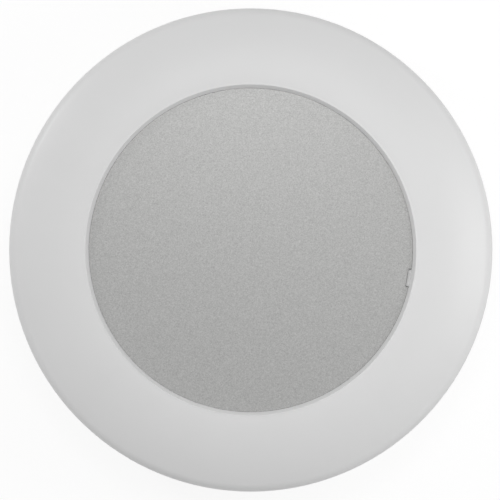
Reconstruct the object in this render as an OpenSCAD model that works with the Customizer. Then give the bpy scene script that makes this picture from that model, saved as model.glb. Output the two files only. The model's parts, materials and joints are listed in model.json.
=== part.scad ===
// Round waterproof ceiling light: opal ring diffuser, silver centre cover, base pan and gear tray.
// The mounting surface is z = 0 and the light faces +Z.

/* [Overall] */
// Outer diameter of the diffuser's skirt
body_d = 300; // [292:1:316]
// Height from the mounting surface to the crown of the diffuser
body_h = 70; // [67:1:80]

/* [Diffuser] */
// Wall of the opal moulding
diff_wall = 2.5; // [2:0.1:3]
// Diameter of the lip where the crown meets the recess
lip_d = 205; // [200:1:209]
// Distance from the lip out to the highest line of the crown
crest_out = 6; // [4:0.5:12]
// Profile radius of the crown outside its highest line
crown_r = 90; // [70:2:120]
// Profile radius of the crown inside its highest line
crown_in_r = 120; // [80:5:200]
// Blend radius between the crown and the skirt
edge_r = 8; // [5:0.5:12]
// Radius of the bead on the lip
bead_r = 1; // [0.7:0.1:1.4]
// Height of the bead above the line of the crown
bead_rise = 0.1; // [0.05:0.05:0.3]
// Slope of the recess wall above the cover, as a change of its radius
recess_draft = 1.4; // [1:0.1:1.8]
// Width of the ledge that the rim of the cover rests on
ledge_w = 3.6; // [3:0.1:4.5]
// Draft of the wall between the ledge and the centre floor, as a change of its radius
centre_draft = 0.5; // [0.2:0.1:1]
// Draft of the skirt, as a change of its radius
skirt_draft = 0.4; // [0.2:0.1:0.8]
// Depth of the centre floor below the crown
floor_drop = 14; // [13:0.5:15]
// Diameter of the screw bosses under the centre floor
boss_d = 14; // [13:0.5:16]
// Length of the screw bosses
boss_len = 10; // [8:0.5:12]
// Depth of the stiffening ribs under the centre floor
floor_rib_h = 3; // [2:0.5:4]

/* [Centre cover] */
// Gap between the rim of the cover and the recess wall
cover_gap = 0.2; // [0.15:0.05:0.4]
// Wall of the cover
cover_wall = 1.5; // [1.2:0.1:1.8]
// Height of the rim of the cover
rim_h = 2; // [1.8:0.1:2.6]
// Thickness of the rim
rim_t = 2.2; // [1.8:0.1:2.8]
// Radius of the rim's rounded edge
rim_r = 0.5; // [0.3:0.1:1]
// Depth of the face below the crown
face_drop = 3.7; // [3:0.1:5]
// Direction of the prise notch, from +X
notch_angle = -10; // [-60:5:60]
// Width of the prise notch
notch_w = 11.4; // [8:0.2:14]
// Depth of the prise notch into the rim
notch_depth = 2.3; // [1.6:0.1:2.8]
// Depth of the slope in the ledge that leads a blade under the cover
prise_drop = 1.3; // [0.8:0.1:1.5]
// Width of each snap leg
leg_w = 8; // [6:0.5:10]
// Thickness of each snap leg
leg_t = 1.8; // [1.4:0.1:2.2]
// Reach of the barb on each snap leg
barb = 1.2; // [0.9:0.1:1.5]

/* [Captive screws] */
// Radius of the circle that the captive screws stand on
screw_circle_r = 78; // [74:1:80]
// Shank diameter of a captive screw
screw_d = 5; // [4:0.5:5.5]
// Length of a captive screw under its head
screw_len = 25; // [23:1:27]
// Head diameter
screw_head_d = 9.5; // [8.5:0.5:10.5]
// Head height
screw_head_h = 2.4; // [2.2:0.1:3.5]
// Thickness of the sealing washer
washer_t = 1.2; // [1:0.1:1.5]
// Diameter of the sealing washer
washer_d = 12; // [11:0.5:13]
// Length of a threaded insert
insert_len = 10; // [8:0.5:12]
// Wall of a threaded insert
insert_wall = 1; // [0.8:0.1:1.4]
// Thickness of a retaining clip
clip_t = 1; // [0.8:0.1:1.2]

/* [Base pan] */
// Wall of the base pan
pan_wall = 2.5; // [2:0.1:3]
// Height of the band that shows below the diffuser
band_h = 12.7; // [11:0.1:14]
// Setback of the band from the skirt
band_inset = 0.75; // [0.5:0.05:1.2]
// Shadow gap between the band and the skirt
shadow_gap = 0.8; // [0.5:0.1:1.5]
// Gap between the spigot wall and the skirt
spigot_gap = 0.7; // [0.6:0.05:1]
// Height of the spigot wall above the band
spigot_h = 9.8; // [9:0.2:12]
// Diameter of the posts that the diffuser is clamped to
post_d = 14; // [13:0.5:15]
// Height of the stiffening ribs on the floor of the pan
pan_rib_h = 4; // [3:0.5:6]
// Thickness of the ribs
rib_t = 1.6; // [1.2:0.1:2]

/* [Fixing and cable entry] */
// Diameter of the circle of fixing holes
fix_circle_d = 206; // [198:1:210]
// Diameter of a fixing hole
fix_hole_d = 5.5; // [4.5:0.5:6.5]
// Diameter of the collar round a fixing hole
fix_collar_d = 12; // [11:0.5:13]
// Height of that collar
fix_collar_h = 3; // [2:0.5:5]
// Distance of the cable entries from the centre, along X
entry_x = 24; // [20:1:28]
// Distance of the cable entries from the centre, along -Y
entry_y = 28; // [24:1:30]
// Diameter of the hole for a grommet
entry_hole_d = 16; // [14:0.5:17]
// Bore of the cable grommet
cable_bore_d = 8; // [6:0.5:9]

/* [Seals] */
// Distance from the skirt in to the middle of the back gasket
gasket_inset = 25; // [22:1:29]
// Width of the back gasket
gasket_w = 8; // [6:0.5:9]
// Height that the back gasket stands proud of the pan
gasket_proud = 1.5; // [1.2:0.1:2.5]
// Depth of the groove that holds the back gasket
gasket_seat = 2; // [1.5:0.1:2.5]
// Height of the rim gasket
seal_h = 3; // [2.5:0.1:3.4]
// Depth of the rim gasket's groove
seal_seat = 3; // [2.5:0.1:3.5]

/* [Gear tray] */
// Height of the tray above the floor of the pan
tray_lift = 16; // [14:0.5:18]
// Sheet thickness of the tray
tray_t = 1; // [0.8:0.1:1.5]
// Gap between the tray and the base pan
tray_gap = 2.5; // [1.5:0.1:3.5]
// Height of the upturned edge of the tray
tray_edge_h = 4; // [3:0.5:6]
// Gap between the heads of the tray screws and the LED boards
tray_screw_gap = 4; // [2:0.5:6]
// Shank diameter of a tray screw
tray_screw_d = 4; // [3.5:0.1:4.5]
// Radius of the opening over each fixing hole
access_r = 8; // [7:0.5:8.5]

/* [LED boards] */
// Distance from the skirt in to the middle of the LED boards
led_inset = 25; // [23:0.5:26]
// Width of an LED board
board_w = 14; // [13:0.5:15]
// Thickness of an LED board
board_t = 1.6; // [1:0.2:2]
// Angle from the end of a board to the middle of the gap
board_gap_angle = 2; // [1.6:0.1:2.4]
// LED packages on each board
leds_per_board = 12; // [8:1:14]
// Length of an LED package
led_l = 3.5; // [3:0.1:4]
// Width of an LED package
led_w = 2.8; // [2.2:0.1:3.2]
// Height of an LED package
led_h = 0.8; // [0.6:0.1:1.2]

/* [Driver] */
// Length of the driver case
driver_l = 102; // [98:1:104]
// Width of the driver case
driver_w = 44; // [42:1:46]
// Space between the driver lid and the ribs of the diffuser
driver_headroom = 5.5; // [3:0.5:9]
// Distance of the driver's centre from the centre of the light, along Y
driver_y = 20; // [19:1:22]
// Wall of the driver case
driver_wall = 1.8; // [1.4:0.1:2.2]
// Thickness of the driver lid
lid_t = 2; // [1.5:0.1:3]

/* [Terminal block] */
// Depth of the terminal block along the wires
term_l = 24; // [22:1:26]
// Pitch of the three poles
pole_pitch = 10; // [9:0.5:10.5]
// Height of the terminal block
term_h = 19; // [17:0.5:21]
// Travel of a push button
button_travel = 1.5; // [1:0.1:2]
// Height of a button above the block
button_rise = 2; // [1.8:0.1:3]

/* [Wires] */
// Diameter of a mains wire
mains_d = 2.2; // [1.8:0.1:2.4]
// Diameter of an LED wire
led_wire_d = 1.6; // [1.2:0.1:1.8]

/* [Clearances] */
// Radial clearance of screws and inserts in their holes
fit_gap = 0.1; // [0.05:0.05:0.2]
// Radial clearance of a screw in a part that it passes through
pass_gap = 0.3; // [0.2:0.05:0.4]
// Clearance of the snap legs in their catches
snap_gap = 0.3; // [0.2:0.05:0.4]
// Clearance of soft seals to the piece that slides past them
soft_gap = 0.3; // [0.2:0.05:0.4]

/* [Hidden] */
$fn = 72;
eps = 0.01;
arc_steps = 8;

body_r = body_d / 2;
lip_r = lip_d / 2;
crest_r = lip_r + crest_out;

pan_back_z = gasket_proud;
pan_z = pan_back_z + pan_wall;
band_z = pan_back_z + band_h;
spigot_z = band_z + spigot_h;
skirt_z = band_z + shadow_gap;
band_r = body_r - band_inset;
spigot_r = body_r - diff_wall - spigot_gap;
skirt_top_r = body_r - skirt_draft;

floor_z = body_h - floor_drop;
floor_under_z = floor_z - diff_wall;
joint_z = floor_under_z - boss_len;
face_z = body_h - face_drop;
face_under_z = face_z - cover_wall;
ledge_z = face_z - rim_h;

recess_top_r = lip_r - bead_r;
recess_foot_r = recess_top_r - recess_draft;
ledge_in_r = recess_foot_r - ledge_w;
floor_r = ledge_in_r - centre_draft;
floor_fillet = 1;
cover_r = recess_foot_r - cover_gap;

edge_turn = asin((skirt_top_r - edge_r - crest_r) / (crown_r - edge_r));
edge_z = body_h - crown_r + (crown_r - edge_r) * cos(edge_turn);
bead_start = asin(1 - bead_rise / bead_r);
lip_turn = asin((crest_r - lip_r - bead_r * cos(bead_start)) / crown_in_r);
bead_z = body_h - crown_in_r * (1 - cos(lip_turn)) - bead_r * sin(bead_start);
foot_dist = norm([recess_foot_r - lip_r, face_z - bead_z]);
bead_end = 360 + atan2(face_z - bead_z, recess_foot_r - lip_r) - acos(bead_r / foot_dist);

catch_count = 6;
catch_w = leg_w + 1;
catch_lip_t = 2.2;
catch_post_t = 2;
catch_wall_space = 1.5;
catch_post_r = floor_r - catch_wall_space;
catch_space = 1;
leg_r = catch_post_r - catch_post_t - catch_space - barb;
catch_h = 5.5;
leg_foot_gap = 1;

screw_angles = [30, 150, 270];
head_z = floor_z + washer_t;
insert_r = screw_d / 2 + fit_gap + insert_wall;
post_bore_depth = screw_len - (head_z - joint_z) + 3;
clip_r = 4.3;
clip_seat_h = clip_t + 1;
clip_seat_r = clip_r + 0.6;
tip_bevel = 0.6;

seal_z = band_z + spigot_h / 2 - seal_h / 2;
seal_seat_gap = 0.25;
seal_foot_r = spigot_r - seal_seat;
spigot_inner_r = spigot_r - pan_wall;
seal_back_r = seal_foot_r - pan_wall + 0.2;
seal_wall_h = seal_h + 2 * seal_seat_gap + 3;
seal_tip_r = body_r - diff_wall - skirt_draft * (seal_z + seal_h - skirt_z) / (edge_z - skirt_z) - soft_gap;

grip_gap = 0.05;
grip_flange = 2;
grip_edge = 0.4;
grip_shoulder_h = 0.8;
grip_h = 2;

gasket_r = body_r - gasket_inset;
channel_in_r = gasket_r - gasket_w / 2;
channel_out_r = gasket_r + gasket_w / 2;
channel_top_z = pan_back_z + gasket_seat + pan_wall;

tray_z = pan_z + tray_lift;
tray_top_z = tray_z + tray_t;
tray_r = seal_back_r - tray_gap;
tray_screw_angles = [20, 110, 200, 290];
tray_post_d = 9;
tray_screw_l = 10;
tray_screw_head_d = 8;
tray_screw_head_h = 2.6;
led_r = body_r - led_inset;
tray_screw_r = led_r - board_w / 2 - tray_screw_gap - tray_screw_head_d / 2;
post_hole_r = post_d / 2 + 1;
fix_angles = [45, 135, 225, 315];
tray_cable_r = entry_hole_d / 2 + 1;

board_top_z = tray_top_z + board_t;
gap_angles = [0, 90, 180, 270];
board_span = 90 - 2 * board_gap_angle;
board_end_angle = 6;
led_span = board_span - 2 * board_end_angle;
board_screw_d = 3;
board_screw_l = 4;
board_screw_head_d = 5.5;
board_screw_head_h = 1.8;

conn_l = 6;
conn_w = 7.4;
conn_h = 4;
conn_y = led_r * sin(board_gap_angle) + 1;
conn_pitch = 2.5;
conn_wire_z = board_top_z + conn_h / 2;
conn_hole_depth = 3.6;

driver_h = floor_under_z - floor_rib_h - driver_headroom - tray_top_z;
driver_case_h = driver_h - lid_t;
driver_wire_z = tray_top_z + driver_h / 2;
driver_hole_pitch = 8;
driver_round = 3;
driver_ear_l = 9;
driver_ear_w = 10;
driver_ear_t = 3;
driver_ear_y = driver_y - driver_w / 2 + driver_ear_w / 2 + 1;
driver_screw_x = driver_l / 2 + driver_ear_l / 2;
wire_seat = 5;
wire_slack = 0.2;

term_x = -22;
term_y = -34;
term_w = 3 * pole_pitch + 4;
term_poles = [1, 0, -1];
term_ear_l = 8;
term_ear_w = 8;
term_ear_t = 3;
term_ear_y = term_w / 2 + term_ear_l / 2;
term_wire_h = 6;
term_wire_z = tray_top_z + term_wire_h;
mains_hole_d = 4.2;
mains_hole_depth = 8;
term_wire_depth = 6;
well_l = 6;
well_w = 5;
well_gap = 0.2;
well_lip = 3;
button_foot_h = 1.5;
button_foot_out = 0.8;
contact_l = 10;
contact_w = 5;
contact_h = 5;
contact_t = 0.8;

small_screw_d = 3;
small_screw_l = 6;
small_head_d = 5.6;
small_head_h = 2;

earth_x = -56;
earth_y = -58;
earth_screw_d = 4;
earth_screw_l = 6;
earth_head_d = 7.5;
lug_t = 0.8;
lug_r = 4.2;
lug_barrel_r = mains_d / 2 + 0.7;
lug_barrel_y = 6;
lug_barrel_l = 7;
lug_wire_z = tray_top_z + lug_barrel_r;

term_out_x = term_x - term_l / 2;
driver_end_x = driver_l / 2;

// Routes of the wires, as points that each wire passes through
live_route = [
    [term_out_x + wire_seat, term_y + pole_pitch, term_wire_z],
    [term_out_x, term_y + pole_pitch, term_wire_z],
    [term_out_x - 10, term_y + pole_pitch, term_wire_z],
    [-driver_end_x - 7, term_y + pole_pitch + 5, tray_top_z + 7],
    [-driver_end_x - 15, driver_y - 24, tray_top_z + 9],
    [-driver_end_x - 14, driver_y - 12, tray_top_z + 11],
    [-driver_end_x - 7, driver_y - driver_hole_pitch / 2, driver_wire_z],
    [-driver_end_x, driver_y - driver_hole_pitch / 2, driver_wire_z],
    [-driver_end_x + wire_seat, driver_y - driver_hole_pitch / 2, driver_wire_z]
];
neutral_route = [
    [term_out_x + wire_seat, term_y, term_wire_z],
    [term_out_x, term_y, term_wire_z],
    [term_out_x - 12, term_y, term_wire_z],
    [-driver_end_x - 12, term_y + 4, tray_top_z + 7],
    [-driver_end_x - 23, driver_y - 32, tray_top_z + 9],
    [-driver_end_x - 23, driver_y - 12, tray_top_z + 11],
    [-driver_end_x - 16, driver_y, driver_wire_z],
    [-driver_end_x - 7, driver_y + driver_hole_pitch / 2, driver_wire_z],
    [-driver_end_x, driver_y + driver_hole_pitch / 2, driver_wire_z],
    [-driver_end_x + wire_seat, driver_y + driver_hole_pitch / 2, driver_wire_z]
];
earth_route = [
    [term_out_x + wire_seat, term_y - pole_pitch, term_wire_z],
    [term_out_x, term_y - pole_pitch, term_wire_z],
    [term_out_x - 7, term_y - pole_pitch, term_wire_z],
    [term_out_x - 15, term_y - pole_pitch + 4, tray_top_z + 5],
    [earth_x + 1.5, earth_y + lug_barrel_y + lug_barrel_l + 5.5, tray_top_z + 3],
    [earth_x, earth_y + lug_barrel_y + lug_barrel_l, lug_wire_z],
    [earth_x, earth_y + lug_barrel_y + 2, lug_wire_z]
];
plus_route = [
    [driver_end_x - wire_seat, driver_y + driver_hole_pitch / 2, driver_wire_z],
    [driver_end_x, driver_y + driver_hole_pitch / 2, driver_wire_z],
    [driver_end_x + 6, driver_y + driver_hole_pitch / 2, driver_wire_z],
    [driver_end_x + 17, driver_y, tray_top_z + 10],
    [driver_end_x + 29, driver_y - 10, tray_top_z + 6],
    [driver_end_x + 43, 1, tray_top_z + 4],
    [led_r - 19, -1.5, conn_wire_z],
    [led_r - 9, -1.5, conn_wire_z],
    [led_r - 3, 0, conn_wire_z],
    [led_r - conn_pitch / 2, conn_y - 1, conn_wire_z],
    [led_r - conn_pitch / 2, conn_y + 3, conn_wire_z]
];
minus_route = [
    [driver_end_x - wire_seat, driver_y - driver_hole_pitch / 2, driver_wire_z],
    [driver_end_x, driver_y - driver_hole_pitch / 2, driver_wire_z],
    [driver_end_x + 6, driver_y - driver_hole_pitch / 2, driver_wire_z],
    [driver_end_x + 15, driver_y - 9, tray_top_z + 10],
    [driver_end_x + 27, driver_y - 17, tray_top_z + 6],
    [driver_end_x + 41, -3.5, tray_top_z + 4],
    [led_r - 19, -4.3, conn_wire_z],
    [led_r - 7, -4.3, conn_wire_z],
    [led_r - 1.5, -2.6, conn_wire_z],
    [led_r + conn_pitch / 2, 1, conn_wire_z],
    [led_r + conn_pitch / 2, conn_y + 3, conn_wire_z]
];
jumper_bow = 1.5;

function arc(r0, z0, r, a0, a1, steps = arc_steps) =
    [for (i = [0 : steps]) let (a = a0 + (a1 - a0) * i / steps) [r0 + r * cos(a), z0 + r * sin(a)]];

function unit(v) = v / norm(v);

function blend(a, b, c, d, t) =
    (2 * b + (c - a) * t + (2 * a - 5 * b + 4 * c - d) * t * t + (3 * b - a - 3 * c + d) * t * t * t) / 2;

function smooth_route(p, steps) =
    let (last = len(p) - 1)
    [for (i = [0 : last - 1], k = [0 : steps - 1])
        blend(p[max(i - 1, 0)], p[i], p[i + 1], p[min(i + 2, last)], k / steps), p[last]];

function tangents(p) =
    let (last = len(p) - 1)
    [for (i = [0 : last]) unit(p[min(i + 1, last)] - p[max(i - 1, 0)])];

function square_to(n, t) = unit(n - (n * t) * t);

// Each normal is the one before it, turned square to the next stretch of the route
function normals(t, i = 0, found = []) =
    i == len(t) ? found
    : normals(t, i + 1, concat(found, [square_to(i == 0 ? [0.1, 0.2, 1] : found[i - 1], t[i])]));

function loop(n, i) = (i % n + n) % n;

module wire(route, d, steps = 3, sides = 8) {
    points = smooth_route(route, steps);
    t = tangents(points);
    n = normals(t);
    rings = len(points);
    verts = [for (i = [0 : rings - 1], j = [0 : sides - 1])
        let (a = 360 * j / sides, side = cross(t[i], n[i]))
        points[i] + d / 2 * (cos(a) * n[i] + sin(a) * side)];
    walls = [for (i = [0 : rings - 2], j = [0 : sides - 1], k = [0, 1])
        let (a = i * sides + j, b = i * sides + loop(sides, j + 1))
        k == 0 ? [a, a + sides, b + sides] : [a, b + sides, b]];
    start = [for (j = [0 : sides - 1]) j];
    finish = [for (j = [sides - 1 : -1 : 0]) (rings - 1) * sides + j];
    polyhedron(points = verts, faces = concat([start, finish], walls));
}

module polar(r, a, z = 0) {
    rotate([0, 0, a]) translate([r, 0, z]) children();
}

module tube(r_in, r_out, z0, z1) {
    translate([0, 0, z0]) difference() {
        cylinder(h = z1 - z0, r = r_out);
        translate([0, 0, -1]) cylinder(h = z1 - z0 + 2, r = r_in);
    }
}

// A profile of radius and height, extruded sideways by w about the X axis of its place
module plate_profile(points, w) {
    rotate([90, 0, 0]) linear_extrude(height = w, center = true) polygon(points);
}

module round_slab(size_x, size_y, h, r) {
    linear_extrude(height = h) hull()
        for (x = [-1, 1], y = [-1, 1])
            translate([x * (size_x / 2 - r), y * (size_y / 2 - r)]) circle(r = r, $fn = 24);
}

// Pan head with a cross recess, its seat at z = 0 and its shank down
module cross_screw(d, l, head_d, head_h) {
    dome = head_h * 0.45;
    slot_t = head_d * 0.14;
    slot_l = head_d * 0.56;
    difference() {
        rotate_extrude() polygon(concat(
            [[0, -l], [d / 2 - tip_bevel, -l], [d / 2, -l + tip_bevel], [d / 2, 0], [head_d / 2, 0]],
            arc(head_d / 2 - dome, head_h - dome, dome, 0, 90, 4),
            [[0, head_h]]));
        for (a = [0, 90])
            rotate([0, 0, a]) translate([-slot_l / 2, -slot_t / 2, head_h * 0.4])
                cube([slot_l, slot_t, head_h]);
    }
}

module base_pan_shell() {
    foot_round = 1;
    band_round = 0.5;
    pan_fillet = 2;
    spigot_edge_h = 1;
    spigot_edge_w = 0.6;
    seal_slope_h = 1.5;
    seal_mid_z = seal_z + seal_h / 2;
    rotate_extrude() polygon(concat(
        [[0, pan_back_z], [channel_in_r, pan_back_z], [channel_in_r, pan_back_z + gasket_seat],
         [channel_out_r, pan_back_z + gasket_seat], [channel_out_r, pan_back_z]],
        arc(band_r - foot_round, pan_back_z + foot_round, foot_round, -90, 0, 4),
        arc(band_r - band_round, band_z - band_round, band_round, 0, 90, 3),
        [[spigot_r, band_z],
         [spigot_r, seal_z - seal_seat_gap], [seal_foot_r, seal_z - seal_seat_gap],
         [seal_foot_r, seal_z + seal_h + seal_seat_gap], [spigot_r, seal_z + seal_h + seal_seat_gap],
         [spigot_r, spigot_z - spigot_edge_h], [spigot_r - spigot_edge_w, spigot_z],
         [spigot_inner_r, spigot_z], [spigot_inner_r, seal_mid_z + seal_wall_h / 2 + seal_slope_h],
         [seal_back_r, seal_mid_z + seal_wall_h / 2],
         [seal_back_r, seal_mid_z - seal_wall_h / 2],
         [spigot_inner_r, seal_mid_z - seal_wall_h / 2 - seal_slope_h]],
        arc(spigot_inner_r - pan_fillet, pan_z + pan_fillet, pan_fillet, 0, -90, 4),
        [[channel_out_r + pan_wall, pan_z], [channel_out_r + pan_wall, channel_top_z],
         [channel_in_r - pan_wall, channel_top_z], [channel_in_r - pan_wall, pan_z], [0, pan_z]]));
}

module base_pan() {
    centre_rib_r = 50;
    outer_rib_h = 8;
    gusset_h = tray_lift - 2;
    gusset_out = 9;
    gusset_edge_h = 1;
    color("whitesmoke") difference() {
        union() {
            base_pan_shell();
            tube(centre_rib_r, centre_rib_r + rib_t, pan_z - eps, pan_z + pan_rib_h);
            for (a = [0 : 30 : 330])
                rotate([0, 0, a]) translate([centre_rib_r + rib_t / 2, -rib_t / 2, pan_z - eps])
                    cube([channel_in_r - pan_wall - centre_rib_r, rib_t, pan_rib_h + eps]);
            for (a = [0 : 15 : 345])
                rotate([0, 0, a]) translate([channel_out_r + pan_wall - eps, -rib_t / 2, pan_z - eps])
                    cube([spigot_inner_r - channel_out_r - pan_wall + 2 * eps, rib_t, outer_rib_h]);
            for (a = screw_angles) polar(screw_circle_r, a) {
                translate([0, 0, pan_z - eps]) cylinder(h = joint_z - pan_z + eps, d = post_d);
                for (b = [45 : 90 : 315]) rotate([0, 0, b])
                    plate_profile([[0, pan_z - eps], [post_d / 2 + gusset_out, pan_z - eps],
                        [post_d / 2 + gusset_out, pan_z + gusset_edge_h], [post_d / 2, pan_z + gusset_h],
                        [0, pan_z + gusset_h]], rib_t);
            }
            for (a = tray_screw_angles)
                polar(tray_screw_r, a, pan_z - eps) cylinder(h = tray_lift + eps, d = tray_post_d);
            for (a = fix_angles)
                polar(fix_circle_d / 2, a, pan_z - eps) cylinder(h = fix_collar_h + eps, d = fix_collar_d);
        }
        for (a = screw_angles) polar(screw_circle_r, a) {
            translate([0, 0, joint_z - insert_len]) cylinder(h = insert_len + 1, r = insert_r);
            translate([0, 0, joint_z - post_bore_depth])
                cylinder(h = post_bore_depth, r = screw_d / 2 + pass_gap);
        }
        for (a = tray_screw_angles)
            polar(tray_screw_r, a, tray_z - tray_screw_l)
                cylinder(h = tray_screw_l + 1, r = tray_screw_d / 2 + fit_gap);
        for (a = fix_angles)
            polar(fix_circle_d / 2, a) cylinder(h = pan_z + fix_collar_h + 1, d = fix_hole_d);
        for (x = [-entry_x, entry_x])
            translate([x, -entry_y, 0]) cylinder(h = pan_z + 1, d = entry_hole_d);
    }
}

module back_gasket() {
    color("dimgray") tube(channel_in_r + fit_gap, channel_out_r - fit_gap, 0, pan_back_z + gasket_seat);
}

module rim_gasket() {
    lobe = seal_h / 4;
    color("gray") rotate_extrude() polygon(concat(
        [[seal_foot_r + eps, seal_z], [seal_tip_r - 2 * lobe, seal_z]],
        arc(seal_tip_r - lobe, seal_z + lobe, lobe, -90, 60, 5),
        arc(seal_tip_r - lobe, seal_z + seal_h - lobe, lobe, -60, 90, 5),
        [[seal_foot_r + eps, seal_z + seal_h]]));
}

// Flange, neck and inner shoulder that a rubber piece grips the pan with
function grip_profile(bore_r) =
    let (neck_r = entry_hole_d / 2 - grip_gap, flange_r = entry_hole_d / 2 + grip_flange,
         under = pan_back_z - grip_gap, top = pan_z + grip_gap)
    [[bore_r, soft_gap], [flange_r - grip_edge, soft_gap], [flange_r, soft_gap + grip_edge],
     [flange_r, under], [neck_r, under], [neck_r, top],
     [flange_r, top], [flange_r, top + grip_shoulder_h], [neck_r, top + grip_h]];

module cable_grommet() {
    nozzle_z = pan_z + 8;
    nozzle_wall = 1.6;
    color("dimgray") translate([entry_x, -entry_y, 0]) rotate_extrude() polygon(concat(
        grip_profile(cable_bore_d / 2),
        [[cable_bore_d / 2 + nozzle_wall, nozzle_z], [cable_bore_d / 2, nozzle_z]]));
}

module blanking_plug() {
    pocket_wall = 2.5;
    color("dimgray") translate([-entry_x, -entry_y, 0]) difference() {
        rotate_extrude() polygon(concat(grip_profile(0), [[0, pan_z + grip_gap + grip_h]]));
        translate([0, 0, pan_z]) cylinder(h = grip_h + 1, r = entry_hole_d / 2 - pocket_wall);
    }
}

module threaded_inserts() {
    waist_h = insert_len * 0.2;
    waist_depth = 0.4;
    r = insert_r - 0.02;
    color("goldenrod") for (a = screw_angles)
        polar(screw_circle_r, a, joint_z - insert_len) rotate_extrude() polygon([
            [screw_d / 2 + fit_gap, 0], [r, 0], [r, insert_len / 2 - waist_h / 2],
            [r - waist_depth, insert_len / 2 - waist_h / 2], [r - waist_depth, insert_len / 2 + waist_h / 2],
            [r, insert_len / 2 + waist_h / 2], [r, insert_len], [screw_d / 2 + fit_gap, insert_len]]);
}

module tray_hole(r) {
    translate([0, 0, tray_z - 1]) cylinder(h = tray_t + 3, r = r);
}

module gear_tray() {
    bend_r = 2;
    bead_in_r = 88;
    bead_w = 4;
    bead_slope = 1;
    bead_h = 0.8;
    color("white") difference() {
        rotate_extrude() polygon(concat(
            [[0, tray_z]],
            arc(tray_r - bend_r, tray_z + bend_r, bend_r, -90, 0, 4),
            [[tray_r, tray_z + tray_edge_h], [tray_r - tray_t, tray_z + tray_edge_h]],
            arc(tray_r - bend_r, tray_z + bend_r, bend_r - tray_t, 0, -90, 4),
            [[bead_in_r + bead_w, tray_top_z], [bead_in_r + bead_w - bead_slope, tray_top_z + bead_h],
             [bead_in_r + bead_slope, tray_top_z + bead_h], [bead_in_r, tray_top_z], [0, tray_top_z]]));
        for (a = screw_angles) polar(screw_circle_r, a) tray_hole(post_hole_r);
        for (a = fix_angles) polar(fix_circle_d / 2, a) tray_hole(access_r);
        for (a = tray_screw_angles) polar(tray_screw_r, a) tray_hole(tray_screw_d / 2 + pass_gap);
        for (p = board_screw_places()) polar(led_r, p) tray_hole(board_screw_d / 2 + fit_gap);
        for (x = [-1, 1])
            translate([x * driver_screw_x, driver_ear_y, 0]) tray_hole(small_screw_d / 2 + fit_gap);
        for (y = [-1, 1])
            translate([term_x, term_y + y * term_ear_y, 0]) tray_hole(small_screw_d / 2 + fit_gap);
        translate([earth_x, earth_y, 0]) tray_hole(earth_screw_d / 2 + fit_gap);
        translate([entry_x, -entry_y, 0]) tray_hole(tray_cable_r);
    }
}

module gear_tray_screws() {
    color("silver") for (a = tray_screw_angles) polar(tray_screw_r, a, tray_top_z)
        cross_screw(tray_screw_d, tray_screw_l - 1, tray_screw_head_d, tray_screw_head_h);
}

function led_angle(i) = board_gap_angle + board_end_angle + led_span * (i + 0.5) / leds_per_board;

// Three screws to a board, each midway between two packages
function board_screw_angles() =
    let (k = floor(leds_per_board / 4))
    [led_angle(k - 0.5), led_angle(leds_per_board / 2 - 0.5), led_angle(leds_per_board - k - 0.5)];

function board_screw_places() = [for (g = gap_angles, a = board_screw_angles()) g + a];

module led_board(i) {
    color("ivory") rotate([0, 0, gap_angles[i] + board_gap_angle]) difference() {
        translate([0, 0, tray_top_z]) rotate_extrude(angle = board_span)
            translate([led_r - board_w / 2, 0]) square([board_w, board_t]);
        for (a = board_screw_angles())
            polar(led_r, a - board_gap_angle, tray_top_z - 1)
                cylinder(h = board_t + 2, r = board_screw_d / 2 + fit_gap);
    }
}

module led_chips(i) {
    color("khaki") for (k = [0 : leds_per_board - 1])
        polar(led_r, gap_angles[i] + led_angle(k), board_top_z)
            translate([-led_w / 2, -led_l / 2, 0]) cube([led_w, led_l, led_h]);
}

module board_screws() {
    color("silver") for (a = board_screw_places()) polar(led_r, a, board_top_z)
        cross_screw(board_screw_d, board_screw_l, board_screw_head_d, board_screw_head_h);
}

module board_connectors() {
    latch_w = 1.2;
    latch_l = 1.8;
    latch_y = -0.2;
    latch_depth = 0.8;
    color("white") for (g = gap_angles, s = [-1, 1])
        rotate([0, 0, g]) translate([led_r, s * (conn_y + conn_l / 2), board_top_z]) difference() {
            translate([-conn_w / 2, -conn_l / 2, 0]) cube([conn_w, conn_l, conn_h]);
            for (x = [-0.5, 0.5])
                translate([x * conn_pitch, -s * conn_l / 2, conn_h / 2]) rotate([90, 0, 0])
                    cylinder(h = 2 * conn_hole_depth, r = led_wire_d / 2 + wire_slack / 2, center = true);
            for (x = [-0.5, 0.5])
                translate([x * conn_pitch - latch_w / 2, latch_y, conn_h - latch_depth])
                    cube([latch_w, latch_l, latch_depth + 1]);
        }
}

module board_jumpers() {
    y = conn_y + 3;
    color("white") for (g = [90, 180, 270], x = [-0.5, 0.5])
        rotate([0, 0, g]) wire([
            for (k = [-1 : 0.5 : 1])
                [led_r + x * conn_pitch, k * y, conn_wire_z + (k == 0 ? jumper_bow : 0)]
        ], led_wire_d);
}

module driver_case() {
    color("white") translate([0, driver_y, tray_top_z]) difference() {
        union() {
            round_slab(driver_l, driver_w, driver_case_h, driver_round);
            for (x = [-1, 1]) translate([x * driver_screw_x, driver_ear_y - driver_y, 0]) {
                translate([x > 0 ? -driver_ear_l / 2 - 1 : 0, -driver_ear_w / 2, 0])
                    cube([driver_ear_l / 2 + 1, driver_ear_w, driver_ear_t]);
                cylinder(h = driver_ear_t, d = driver_ear_w);
            }
        }
        translate([0, 0, driver_wall])
            round_slab(driver_l - 2 * driver_wall, driver_w - 2 * driver_wall, driver_h, driver_round / 2);
        for (x = [-1, 1]) {
            translate([x * driver_screw_x, driver_ear_y - driver_y, -1])
                cylinder(h = driver_ear_t + 2, r = small_screw_d / 2 + pass_gap);
            for (y = [-0.5, 0.5])
                translate([x * driver_l / 2, y * driver_hole_pitch, driver_wire_z - tray_top_z])
                    rotate([0, 90, 0])
                        cylinder(h = 4 * driver_wall, r = mains_d / 2 + wire_slack, center = true);
        }
    }
}

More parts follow.
